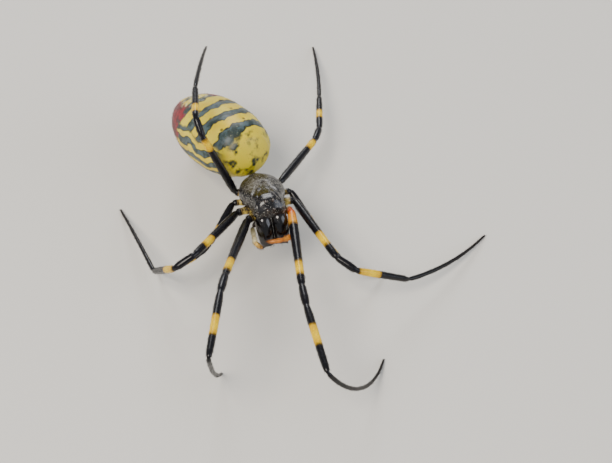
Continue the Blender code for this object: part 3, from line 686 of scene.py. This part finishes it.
def abdomen_paint(name, uv_map, silver=0.0, **finish):
    """The abdomen's markings, drawn by place along it (U) and round it (V), and silvered over."""
    made, tree, shader = new_material(name, **finish)
    place = node(tree, "ShaderNodeTexCoord").outputs["Object"]
    unwrap = node(tree, "ShaderNodeSeparateXYZ", {0: node(tree, "ShaderNodeUVMap", uv_map=uv_map)}).outputs

    def uneven(patches, detail=2.0):
        """A value that wanders about 0 in patches, so many to the millimetre."""
        clouds = node(tree, "ShaderNodeTexNoise", {"Vector": place, "Scale": patches / MM, "Detail": detail})
        return node(tree, "ShaderNodeMath", {0: clouds, 1: 0.5}, operation="SUBTRACT")

    def drift(base, by, share):
        """The base, moved by a share of another value."""
        return node(tree, "ShaderNodeMath", {0: by, 1: share, 2: base}, operation="MULTIPLY_ADD")

    def bars(value, count, start):
        """Waves from -1 to 1, so many for each 1 that the value grows."""
        return node(tree, "ShaderNodeMath", {0: drift(start, value, 2 * math.pi * count)}, operation="SINE")

    def edge(value, low, high):
        """0 below low, 1 above high, and a soft step between them."""
        return node(tree, "ShaderNodeMapRange", {"Value": value, "From Min": low, "From Max": high},
                    interpolation_type="SMOOTHSTEP")

    def both(a, b):
        """Where two marks lie over each other, or a share of one."""
        return node(tree, "ShaderNodeMath", {0: a, 1: b}, operation="MULTIPLY")

    def painted(below, mark, paint):
        """The colours below, with a mark painted over them."""
        return node(tree, "ShaderNodeMix", {0: mark, 6: below, 7: paint}, data_type="RGBA").outputs[2]

    slow, quick, fine = uneven(0.3), uneven(1.0, 3.0), uneven(5.2, 3.0)
    off_back = node(tree, "ShaderNodeMath", {0: unwrap["Y"], 1: 0.5}, operation="SUBTRACT")
    round_it = both(node(tree, "ShaderNodeMath", {0: off_back}, operation="ABSOLUTE"), 2.0)
    girth = drift(drift(round_it, quick, 0.05), slow, 0.16)
    along = drift(drift(unwrap["X"], quick, 0.05), slow, 0.10)

    # Yellow that drifts from deep to pale and dulls at the front end, and slate, both speckled
    # with small pores.
    yellow = painted(hex_colour("#DABF1C"), edge(uneven(0.26), -0.12, 0.14), hex_colour("#E6D240"))
    yellow = painted(yellow, edge(unwrap["X"], 0.2, 0.02), hex_colour("#CDB926"))
    pores = node(tree, "ShaderNodeTexVoronoi", {"Vector": place, "Scale": 2.3 / MM})
    yellow = painted(yellow, both(edge(pores, 0.2, 0.08), 0.5), hex_colour("#8E7A1E"))
    slate = painted(hex_colour("#25332F"), edge(quick, -0.1, 0.12), hex_colour("#4C5E62"))
    slate = painted(slate, both(edge(pores, 0.17, 0.07), 0.5), hex_colour("#A8AE7E"))
    dark = painted(hex_colour("#0E1C14"), edge(fine, -0.1, 0.1), hex_colour("#22321F"))

    # The back: uneven slate bars across it, their ends swept back, each with a darker rim.
    swept = drift(along, both(girth, girth), -0.4)
    phase = drift(bars(swept, 5.7, -2.9), uneven(0.65), 2.4)
    on_back = both(edge(girth, 0.36, 0.30), edge(unwrap["X"], 0.06, 0.09))
    band, band_rim = both(edge(phase, 0.3, 0.5), on_back), both(edge(phase, -0.02, 0.2), on_back)

    # The flanks: wavy slate stripes the long way, with dark green borders.
    lane = drift(drift(girth, along, -0.12), bars(along, 2.7056, 0.0), 0.014)
    phase = drift(bars(lane, 8.6, 0.2), uneven(0.8), 1.6)
    on_flank = both(both(edge(girth, 0.30, 0.35), edge(girth, 0.79, 0.74)),
                    both(edge(unwrap["X"], 0.07, 0.16), edge(along, 0.95, 0.88)))
    stripe, stripe_rim = both(edge(phase, 0.05, 0.3), on_flank), both(edge(phase, -0.4, -0.1), on_flank)

    # The belly: slate with yellow blotches, and a dark plate in front that holds the lungs.
    on_belly = both(edge(girth, 0.76, 0.82), edge(unwrap["X"], 0.07, 0.12))
    blotch = both(on_belly, edge(uneven(0.52, 1.0), 0.07, 0.02))
    plate = both(both(edge(girth, 0.80, 0.86), edge(along, 0.31, 0.28)), edge(along, 0.10, 0.14))

    # A few dark smudges on the front end, and brown sinks where the muscles hold the back.
    smudge = both(edge(uneven(0.62, 3.0), 0.0, 0.14), edge(unwrap["X"], 0.13, 0.05))
    sinks = 0.0
    for dimple, out, _ in MUSCLE_DIMPLES:
        ahead = drift(-dimple * ABDOMEN_LENGTH, unwrap["X"], ABDOMEN_LENGTH)
        aside = drift(-out * HALF_GIRTH, round_it, HALF_GIRTH)
        sinks = drift(sinks, edge(drift(both(ahead, ahead), both(aside, aside), 1.0), 0.07, 0.01), 1.0)

    # Crimson on both sides of the spinnerets, up over the tail's flanks, with a strip of cream
    # flecks between the two patches along the back.
    tail = edge(drift(drift(along, girth, -0.04), quick, 0.16), 0.63, 0.67)
    red_zone = both(tail, both(edge(girth, 0.09, 0.14), edge(girth, 0.93, 0.86)))
    crimson = painted(hex_colour("#4C000A"), edge(quick, -0.12, 0.12), hex_colour("#8C061C"))
    flecks = both(both(tail, edge(girth, 0.17, 0.10)), edge(uneven(2.1), 0.0, 0.1))

    colour = yellow
    for mark, paint in (
            (band_rim, dark), (band, slate), (stripe_rim, dark), (stripe, slate), (blotch, slate),
            (plate, hex_colour("#22262B")), (smudge, dark), (red_zone, crimson),
            (both(flecks, 0.75), hex_colour("#D8CD9A")), (both(sinks, 0.8), hex_colour("#3A2412"))):
        colour = painted(colour, mark, paint)
    if silver:
        colour = painted(colour, drift(silver, red_zone, -0.8 * silver), hex_colour("#D9D6C6"))
    wrinkles = node(tree, "ShaderNodeTexNoise", {"Vector": place, "Scale": 3.3 / MM, "Detail": 5.0})
    relief = drift(wrinkles, edge(pores, 0.05, 0.25), 0.6)
    bump = node(tree, "ShaderNodeBump", {"Height": relief, "Strength": 0.4, "Distance": 0.05 * MM})
    feed(shader, {"Base Color": colour, "Normal": bump})
    return made


# Pliable skin with pigment cells under a clear waxy layer: satin, a little light goes in.
painted_skin = abdomen_paint("pigmented_soft_skin", "UVMap", Roughness=0.42, Specular_IOR_Level=0.45,
                             Subsurface_Weight=0.12, Subsurface_Scale=0.6 * MM)
down = abdomen_paint("short_pale_down", "OFBake", silver=0.12, Roughness=0.5)
comb(abdomen_mesh, np.clip(0.75 + 0.25 * normals_of(abdomen_mesh)[:, 2], 0.3, 1), BACKWARD)
piece("abdomen_skin", abdomen_mesh, painted_skin, "abdomen_skin", "abdomen")
grow_hairs("abdomen_down", abdomen_mesh, down, "abdomen_skin",
           density=18, length=0.24, thickness=0.012, lift=0.35, seed=41)

# The narrow soft tube that joins it to the thorax.
STALK = ((-3.6, 0, 0.0), (-4.05, 0.0, -0.1), (-4.5, -0.03, -0.4), (-4.95, -0.06, -0.55), (-5.5, -0.1, -0.2))
stalk = np.array([body_point(*corner) for corner in STALK])
s = np.linspace(0, len(STALK) - 1, 40)
path = np.stack([np.interp(s, range(len(STALK)), stalk[:, k]) for k in range(3)], 1)
pedicel = skin("stalk_skin", sweep(path, 0.4 + 0.04 * np.sin(s * 9)))
piece("stalk_skin", pedicel, joint_skin, "carapace_shell", "pedicel")

# ---------------------------------------------------------------------------------------------
# Spinnerets: a short dark collar under the tail with three pairs of blunt jointed fingers, each
# covered in fine bristles, and the small vent lobe behind them.
SPINNERETS_ALONG = 0.86  # their place along the abdomen
# Each pair of fingers: its place lengthwise and sideways, its length and its radius.
FINGERS = ((0.42, 0.3, 1.05, 0.25), (-0.42, 0.34, 1.0, 0.23), (0.0, 0.16, 0.8, 0.13))
FINGER_SHAPE = ((0, 0.9), (0.3, 1), (0.5, 0.86), (0.56, 0.95), (0.85, 0.8), (1, 0.25))
# Soft red-brown skin with a fine grain.
spinneret_skin = mottled("reddish_spinneret_skin", 2.2, (
    (0.3, "#1C0D0B"), (0.5, "#4A1A14"), (0.7, "#7E3A26")), detail=4.0, relief=0.4, Roughness=0.5)
root = (ABDOMEN_START + BACKWARD * (SPINNERETS_ALONG * ABDOMEN_LENGTH)
        - ABDOMEN_UP * (0.75 * ABDOMEN_HEIGHT / 2 - 0.35))
lean = BACKWARD * 0.75 - ABDOMEN_UP
lean /= np.linalg.norm(lean)
out = np.cross(lean, ABDOMEN_LEFT)
s = np.linspace(0, 1, 20)
fingers = [skin("collar", sweep(root + lean * 1.1 * s[:, None], 1.0 - 0.22 * s**2, 40))]
s = np.linspace(0, 1, 24)
for lengthwise, sideways, length, radius in FINGERS:
    for sign in SIDE_SIGN.values():
        foot = root + lean * 0.85 + out * lengthwise * 0.9 + ABDOMEN_LEFT * sideways * 1.1 * sign
        tip = foot + lean * length * 0.95 - out * lengthwise * 0.35 - ABDOMEN_LEFT * 0.12 * sign
        rings = sweep(foot + (tip - foot) * s[:, None], radius * profile(FINGER_SHAPE, s), 20)
        fingers.append(skin("finger", rings))
vent = root - out * 0.75 + lean * 0.7, root - out * 0.8 + lean * 1.35
fingers.append(lobe("vent_lobe", *vent, 0.24, 0.8, 18))
spinnerets = joined("spinnerets_skin", fingers)
comb(spinnerets, np.clip(0.5 + normals_of(spinnerets) @ lean, 0, 1), lean)
piece("spinnerets_skin", spinnerets, spinneret_skin, "spinneret_skin", "spinnerets")
grow_hairs("spinneret_bristles", spinnerets, dark_bristle, "spinneret_skin",
           density=90, length=0.3, thickness=0.015, lift=0.5, seed=51)

# ---------------------------------------------------------------------------------------------
# Legs: tubes of hard glossy cuticle, black with yellow rings, joined by narrow waists of soft
# skin. Each has a hip piece and ring, thigh, knee, shin, and a long foot in two lengths. Short
# bristles lie towards the tips, and each foot ends in three claws.
HIP = {1: (2.75, 2.65, -0.75), 2: (1.0, 3.5, -0.8), 3: (-0.9, 3.5, -0.8), 4: (-2.7, 2.75, -0.75)}
# Each pair's lengths: femur, patella, tibia, and metatarsus with tarsus.
LENGTHS = {
    1: (12.2, 3.0, 9.6, 15.6),
    2: (10.4, 2.8, 7.9, 13.4),
    3: (6.0, 1.8, 3.6, 6.4),
    4: (9.8, 2.4, 6.4, 11.4),
}
# Yaw from straight ahead, outwards, and pitch, of the femur, the tibia, and the foot's start and end.
POSE = {
    (1, "right"): ((27, 21), (22, 5), (22, -112), (22, -137)),
    (1, "left"): ((-10, 7), (-2, 2), (68, -60), (151, -10)),
    (2, "right"): ((43, 19), (161, -50), (174, -11), (174, -20)),
    (2, "left"): ((12, 5), (92, -34), (105, -17), (128, -9)),
    (3, "right"): ((42, -9), (76, -10), (174, -52), (154, -48)),
    (3, "left"): ((22, -25), (17, 2), (73, -44), (101, -32)),
    (4, "right"): ((120, 68), (193, -15), (199, -17), (202, -27)),
    (4, "left"): ((138, -13), (164, -10), (164, -12), (172, -17)),
}
RAISED = (4, "right")  # held up over the abdomen, clear of the floor
FEMUR_RADIUS = {1: 0.54, 2: 0.50, 3: 0.42, 4: 0.48}
TIBIA_RADIUS = {1: 0.47, 2: 0.44, 3: 0.36, 4: 0.42}
METATARSUS_RADIUS, FOOT_RADIUS, FOOT_PRESS, PATELLA_SHARE = 0.29, 0.25, 0.72, 0.45
# From here on, places along a leg count its joints: 0 to 1 is the hip, 1 to 2 the femur, 2 to 3
# the patella, 3 to 4 the tibia, and 4 to 5 the foot.
LEG_COUNT = 5
YELLOW = {
    (1, "right"): ((1.76, 1.94), (3.38, 3.66)),
    (1, "left"): ((1.0, 1.2), (1.71, 1.87), (3.31, 3.6)),
    (2, "right"): ((1.62, 1.8), (3.04, 3.38)),
    (2, "left"): ((1.6, 1.8), (3.05, 3.42)),
    (3, "right"): ((1.6, 1.82), (3.2, 3.55)),
    (3, "left"): ((1.6, 1.82), (3.2, 3.55)),
    (4, "right"): ((1.78, 1.95), (3.14, 3.36)),
    (4, "left"): ((1.78, 1.95), (3.3, 3.52)),
}
# Thickness, as a share of that part's own radius.
LEG_SHAPE = (
    (0, 0.8), (0.1, 1.05), (0.5, 1.08), (0.72, 0.84), (0.8, 0.92), (0.94, 0.9),
    (1, 0.62), (1.045, 0.86), (1.16, 0.98), (1.4, 0.98), (1.75, 0.87), (1.9, 0.88), (1.965, 0.84),
    (2, 0.66), (2.08, 0.9), (2.3, 0.98), (2.6, 1.02), (2.85, 0.94),
    (3, 0.72), (3.06, 0.88), (3.2, 0.98), (3.5, 0.96), (3.8, 0.88), (3.95, 0.82),
    (4, 0.6), (4.02, 0.9), (4.08, 0.94), (4.35, 0.86), (4.66, 0.78), (4.68, 0.62), (4.7, 0.72), (4.9, 0.6),
    (4.99, 0.5), (5, 0.3),
)
# Colours along the whole leg's U: cream hip pieces, black tinted violet as painted sheen, and a foot that
# ends in dark brown.
HIP_COLOURS = [(0.0, "#BFA852"), (0.07, "#D6C064"), (0.1, "#4A3A26"), (0.128, "#CDB458"), (0.158, "#8C7440"),
               (0.166, "#0A080C")]
# The legs' own black, with a faint violet tint that is painted sheen.
BLACK_WITH_PAINTED_SHEEN = "#07050C"
FOOT_COLOURS = [(0.79, "#070609"), (0.86, "#0B0809"), (1.0, "#1A110D")]
# A ring's start, middle and end, and those of an orange one right at the hip. Then half the width
# of its soft border, and how far that wobbles.
RING_YELLOWS, RING_ORANGES = ("#DCAB00", "#F8D200", "#DCAB00"), ("#C24A18", "#E89A22", "#DD9A2A")
RING_BORDER, RING_WOBBLE = 0.0035, 0.009
HIP_BLOTCHES = 0.155  # how far along its U a leg is blotched with brown
# Each claw's place beside the foot's middle, and its size.
CLAWS = ((-0.07, 1.0), (0.07, 1.0), (0.0, 0.6))
CLAW_LENGTH, CLAW_RADIUS, CLAW_TIP, CLAW_FLOOR_GAP = 0.3, 0.045, 0.012, 0.035


def heading(yaw, pitch):
    y, p = math.radians(yaw), math.radians(pitch)
    return Vector((math.sin(y) * math.cos(p), -math.cos(y) * math.cos(p), math.sin(p)))


def foot_arc(start, first, last, length, steps=48):
    """Points along an even arc that leaves at heading first and arrives at heading last."""
    points = [start]
    for i in range(steps):
        way = heading(*first).slerp(heading(*last), (i + 0.5) / steps)
        points.append(points[-1] + way * (length / steps))
    return points


def foot_on_floor(start, first, last, length):
    """The same arc, pitched so that the foot rests on the floor."""
    def arc(tilt):
        return foot_arc(start, (first[0], first[1] + tilt), (last[0], last[1] + tilt), length)

    def miss(tilt):
        end = arc(tilt)
        slope = (end[-1] - end[-2]).normalized().z
        return end[-1].z - FOOT_PRESS * FOOT_RADIUS * math.sqrt(1 - slope * slope)

    low, high = -20.0, 20.0
    for _ in range(40):
        middle = (low + high) / 2
        low, high = (middle, high) if (miss(low) > 0) == (miss(middle) > 0) else (low, middle)
    return arc(low)


def leg_line(pair, hand):
    """A leg's centre line, and the joint count and radius at each of its points."""
    sign = SIDE_SIGN[hand]
    femur, tibia, first, last = ((yaw * sign, pitch) for yaw, pitch in POSE[pair, hand])
    femur_length, patella_length, tibia_length, foot_length = LENGTHS[pair]
    forward, side, up = HIP[pair]
    hip = body_point(forward, side * sign, up)
    knee = hip + heading(*femur) * femur_length
    patella_end = knee + heading(*femur).slerp(heading(*tibia), PATELLA_SHARE) * patella_length
    ankle = patella_end + heading(*tibia) * tibia_length
    corners = [body_point(forward * 0.66, 1.0 * sign, -0.95), hip, knee, patella_end, ankle]
    path, count = [], []
    for i, (a, b) in enumerate(zip(corners, corners[1:])):
        for s in np.linspace(0, 1, max(8, int((b - a).length / 0.14)), endpoint=False):
            path.append(a.lerp(b, s))
            count.append(i + s)
    foot = (foot_arc if (pair, hand) == RAISED else foot_on_floor)(ankle, first, last, foot_length)
    path = eased(np.array(path + foot), 9)
    count = np.array(count + [4 + i / (len(foot) - 1) for i in range(len(foot))])
    own = np.interp(count, (0, 1.9, 2.1, 3.9, 4.03, 5), (
        *[FEMUR_RADIUS[pair]] * 2, *[TIBIA_RADIUS[pair]] * 2, METATARSUS_RADIUS, FOOT_RADIUS))
    return path, count, own * np.interp(count, *np.array(LEG_SHAPE).T)


def leg_colours(pair, hand):
    """The leg's colours along its U, from the cream hip pieces out to the brown foot."""
    stops = list(HIP_COLOURS)
    for start, end in YELLOW[pair, hand]:
        first, middle, last = RING_YELLOWS if start > 1 else RING_ORANGES
        if start > 1:
            stops.append((start / LEG_COUNT - RING_BORDER, BLACK_WITH_PAINTED_SHEEN))
        else:
            stops.pop()
        stops += [(start / LEG_COUNT + RING_BORDER, first), ((start * 0.4 + end * 0.6) / LEG_COUNT, middle),
                  (end / LEG_COUNT - RING_BORDER, last), (end / LEG_COUNT + RING_BORDER, BLACK_WITH_PAINTED_SHEEN)]
    return stops + FOOT_COLOURS


claws = []
for pair, hand in POSE:
    path, count, radii = leg_line(pair, hand)
    rings = sweep(path, radii)
    rings[..., 2] = np.maximum(rings[..., 2], 0.0)  # the foot's pad lies flat on the floor
    leg = skin(f"leg{pair}_{hand}_cuticle", rings, count / LEG_COUNT)
    # Bristles stay off the hip and the joints' waists, and thicken towards the tip.
    clear = np.clip(np.abs(count - np.round(count)) / 0.03, 0, 1) * np.clip((count - 0.6) / 0.5, 0, 1)
    comb_limb(leg, path, clear * np.interp(count, (0, 4.0, 4.2, 5), (0.75, 0.8, 1.1, 1.6)))
    colours = leg_colours(pair, hand)
    # Hard waxed cuticle: a narrow bright highlight, and a faint lilac bloom where it turns away.
    cuticle = thin_cuticle(f"ringed_cuticle_{pair}_{hand}", colours, "UVMap", RING_WOBBLE, HIP_BLOTCHES,
                           Roughness=0.27, Sheen_Weight=0.04, Sheen_Roughness=0.35,
                           Sheen_Tint=hex_colour("#B9B4D0"))
    bristle = thin_cuticle(f"ringed_bristle_{pair}_{hand}", colours, "OFBake", RING_WOBBLE, HIP_BLOTCHES,
                           Roughness=0.45)
    names = [f"leg{pair}_{hand}_{part}" for part in ("coxa", "femur", "tibia", "metatarsus")]
    piece(f"leg{pair}_{hand}_cuticle", leg, cuticle, "leg_shell", *names)
    grow_hairs(f"leg{pair}_{hand}_bristles", leg, bristle, "leg_shell",
               density=24, length=0.34, thickness=0.014, lift=0.4, seed=60 + pair)
    # Two hooked claws and a small middle one, which stop just short of the floor.
    way = path[-1] - path[-4]
    way /= np.linalg.norm(way)
    beside = np.cross(way, [0, 0, 1.0])
    beside /= np.linalg.norm(beside)
    s = np.linspace(0, 1, 14)
    for shift, size in CLAWS:
        hook = (path[-1] - way * 0.05 + beside * shift + way * CLAW_LENGTH * size * s[:, None]
                + beside * shift * 0.6 * s[:, None])
        if (pair, hand) == RAISED:
            hook[:, 2] -= 0.12 * s**2
        else:
            hook[:, 2] = hook[:, 2] * (1 - s**2) + CLAW_FLOOR_GAP * s**2
        claws.append(skin("claw", sweep(hook, (CLAW_RADIUS * (1 - s) + CLAW_TIP) * size, 10)))
claw_horn = mottled("dark_claw_horn", 6.0, ((0.3, "#0B0807"), (0.7, "#2A1B12")), Roughness=0.25)
piece("claws", joined("claws", claws), claw_horn, "leg_shell")

# ---------------------------------------------------------------------------------------------
# Stand-in for a museum table: a plain pale matt floor that runs far past the view, in the soft
# light of three lamps, with the camera in front of the spider and above it.
made = bmesh.new()
bmesh.ops.create_grid(made, x_segments=1, y_segments=1, size=3.0)
floor_mesh = bpy.data.meshes.new("floor")
made.to_mesh(floor_mesh)
made.free()
floor = bpy.data.objects.new("floor", floor_mesh)
bpy.context.scene.collection.objects.link(floor)
matt_paint = new_material("pale_matt_paint", Base_Color=hex_colour("#D8D5CE"), Roughness=0.8)[0]
floor_mesh.materials.append(matt_paint)

world = bpy.data.worlds.new("studio_air")
world.use_nodes = True
feed(world.node_tree.nodes["Background"], {"Color": hex_colour("#DDE2EA"), "Strength": 0.55})
bpy.context.scene.world = world
# Each lamp's place and width in metres, its power in watts, and its colour.
for name, place, size, power, tone in (
        ("key_softbox", (-0.22, -0.16, 0.42), 0.22, 2.6, "#FFF6EA"),
        ("fill_softbox", (0.36, -0.22, 0.22), 0.3, 0.9, "#EAF1FF"),
        ("rim_softbox", (0.05, 0.38, 0.26), 0.2, 1.1, "#FFFFFF")):
    lamp = bpy.data.lights.new(name, "AREA")
    lamp.size, lamp.energy, lamp.color = size, power, hex_colour(tone)[:3]
    placed = bpy.data.objects.new(name, lamp)
    placed.location = place
    placed.rotation_euler = (-Vector(place)).to_track_quat("-Z", "Y").to_euler()
    bpy.context.scene.collection.objects.link(placed)

# The camera stands off the spider's right front, and looks down at it.
CAMERA_AZIMUTH, CAMERA_ELEVATION, CAMERA_DISTANCE = -16, 52, 230
back = heading(CAMERA_AZIMUTH, CAMERA_ELEVATION)
across = heading(CAMERA_AZIMUTH + 90, 0)
raised = back.cross(across)
aim = (BODY_CENTRE + across * 5.06 - raised * 4.18) * MM
lens = bpy.data.cameras.new("camera")
lens.lens, lens.sensor_width, lens.clip_start = 115.0, 36.0, 0.005
camera = bpy.data.objects.new("camera", lens)
camera.location = aim + back * CAMERA_DISTANCE * MM
camera.rotation_euler = Matrix((across, raised, back)).transposed().to_euler()
bpy.context.scene.collection.objects.link(camera)
bpy.context.scene.camera = camera
